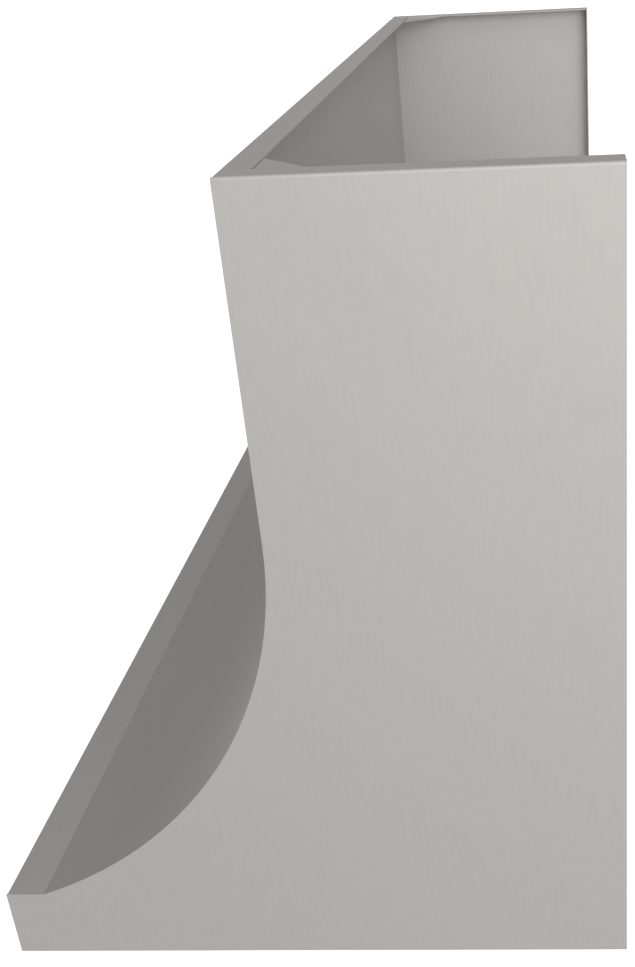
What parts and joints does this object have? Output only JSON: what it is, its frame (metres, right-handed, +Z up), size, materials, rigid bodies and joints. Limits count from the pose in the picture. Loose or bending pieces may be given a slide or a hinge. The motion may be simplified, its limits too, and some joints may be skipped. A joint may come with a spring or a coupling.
{
  "type": "wall-mount range hood",
  "caption": "Wide wall-mount range hood with a concave swept front, flanged open neck, tilted baffle filters, blower with duct collar, lamps and rotary controls.",
  "frame": {"origin": "on the wall plane, at mid-width, level with the casing's bottom edge", "axes": "+X along the width, to the right for someone who faces the wall; +Y into the wall; +Z up"},
  "size_m": [1.2192, 0.6096, 0.7636],
  "materials": {
    "casing": "satin brushed",
    "liner": "satin brushed",
    "filter": "bright brushed",
    "galvanised": "galvanised, spangled",
    "plated": "zinc plated",
    "motor_paint": "black enamel",
    "aluminium": "turned and clear coated",
    "knob": "satin with a turned face",
    "lens": "frosted",
    "plastic": "moulded",
    "cable": "matt"
  },
  "bodies": {
    "hood": {"apron": "casing", "back_panel": "galvanised", "blower_cheek_front": "galvanised", "blower_cheek_rear": "galvanised", "blower_motor": "motor_paint", "blower_scroll": "galvanised", "cable_clips": "plastic", "capacitor": "aluminium", "console_panel": "liner", "control_box": "galvanised", "control_cable": "cable", "corner_gusset_left": "casing", "corner_gusset_right": "casing", "damper_rod": "plated", "duct_collar": "galvanised", "fan_switch": "plastic", "filter_dividers": "liner", "filter_magnets": "plated", "front_panel": "casing", "hanging_rail": "galvanised", "junction_box": "galvanised", "junction_cover": "galvanised", "lamp_driver": "plastic", "lamp_housings": "aluminium", "lamp_leads": "cable", "lamp_lenses": "lens", "light_dimmer": "plastic", "liner_screws": "plated", "liner_side_left": "liner", "liner_side_right": "liner", "lower_rail": "galvanised", "motor_bracket": "galvanised", "motor_cable": "cable", "plenum_screws": "plated", "plenum_top": "galvanised", "rear_rail": "liner", "side_panel_left": "casing", "side_panel_right": "casing", "tray_runners": "liner"},
    "filter_1": {"filter_frame_1": "filter", "filter_baffles_1": "filter"},
    "handle_1": {"filter_handle_1": "filter"},
    "filter_2": {"filter_frame_2": "filter", "filter_baffles_2": "filter"},
    "handle_2": {"filter_handle_2": "filter"},
    "filter_3": {"filter_frame_3": "filter", "filter_baffles_3": "filter"},
    "handle_3": {"filter_handle_3": "filter"},
    "filter_4": {"filter_frame_4": "filter", "filter_baffles_4": "filter"},
    "handle_4": {"filter_handle_4": "filter"},
    "tray": {"grease_tray": "liner"},
    "fan_control": {"fan_knob": "knob", "fan_spindle": "plated"},
    "light_control": {"light_knob": "knob", "light_spindle": "plated"},
    "wheel": {"impeller": "galvanised", "motor_shaft": "plated"},
    "flap_front": {"damper_flap_front": "galvanised"},
    "flap_rear": {"damper_flap_rear": "galvanised"}
  },
  "joints": [
    {"name": "filter_1_hinge", "type": "hinge", "parent": "hood", "child": "filter_1", "pos_m": [-0.429, -0.075, 0.05], "axis": [1, 0, 0], "range_deg": [0, 70]},
    {"name": "handle_1_pivot", "type": "hinge", "parent": "filter_1", "child": "handle_1", "pos_m": [-0.429, -0.40935, 0.13758], "axis": [1, 0, 0], "range_deg": [-44, 72]},
    {"name": "filter_2_hinge", "type": "hinge", "parent": "hood", "child": "filter_2", "pos_m": [-0.143, -0.075, 0.05], "axis": [1, 0, 0], "range_deg": [0, 70]},
    {"name": "handle_2_pivot", "type": "hinge", "parent": "filter_2", "child": "handle_2", "pos_m": [-0.143, -0.40935, 0.13758], "axis": [1, 0, 0], "range_deg": [-44, 72]},
    {"name": "filter_3_hinge", "type": "hinge", "parent": "hood", "child": "filter_3", "pos_m": [0.143, -0.075, 0.05], "axis": [1, 0, 0], "range_deg": [0, 70]},
    {"name": "handle_3_pivot", "type": "hinge", "parent": "filter_3", "child": "handle_3", "pos_m": [0.143, -0.40935, 0.13758], "axis": [1, 0, 0], "range_deg": [-44, 72]},
    {"name": "filter_4_hinge", "type": "hinge", "parent": "hood", "child": "filter_4", "pos_m": [0.429, -0.075, 0.05], "axis": [1, 0, 0], "range_deg": [0, 70]},
    {"name": "handle_4_pivot", "type": "hinge", "parent": "filter_4", "child": "handle_4", "pos_m": [0.429, -0.40935, 0.13758], "axis": [1, 0, 0], "range_deg": [-44, 72]},
    {"name": "tray_slide", "type": "slide", "parent": "hood", "child": "tray", "axis": [0, 1, 0], "range_m": [-0.3, 0]},
    {"name": "fan_turn", "type": "hinge", "parent": "hood", "child": "fan_control", "pos_m": [-0.045, -0.5385, 0.0245], "axis": [0, 0, 1], "range_deg": [0, 270]},
    {"name": "light_turn", "type": "hinge", "parent": "hood", "child": "light_control", "pos_m": [0.045, -0.5385, 0.0245], "axis": [0, 0, 1], "range_deg": [0, 270]},
    {"name": "wheel_spin", "type": "hinge", "parent": "hood", "child": "wheel", "pos_m": [-0.088, -0.1524, 0.29983], "axis": [0, 1, 0], "continuous": true},
    {"name": "flap_front_swing", "type": "hinge", "parent": "hood", "child": "flap_front", "pos_m": [0, -0.1524, 0.51303], "axis": [-1, 0, 0], "range_deg": [0, 80]},
    {"name": "flap_rear_swing", "type": "hinge", "parent": "hood", "child": "flap_rear", "pos_m": [0, -0.1524, 0.51303], "axis": [1, 0, 0], "range_deg": [0, 80]}
  ]
}
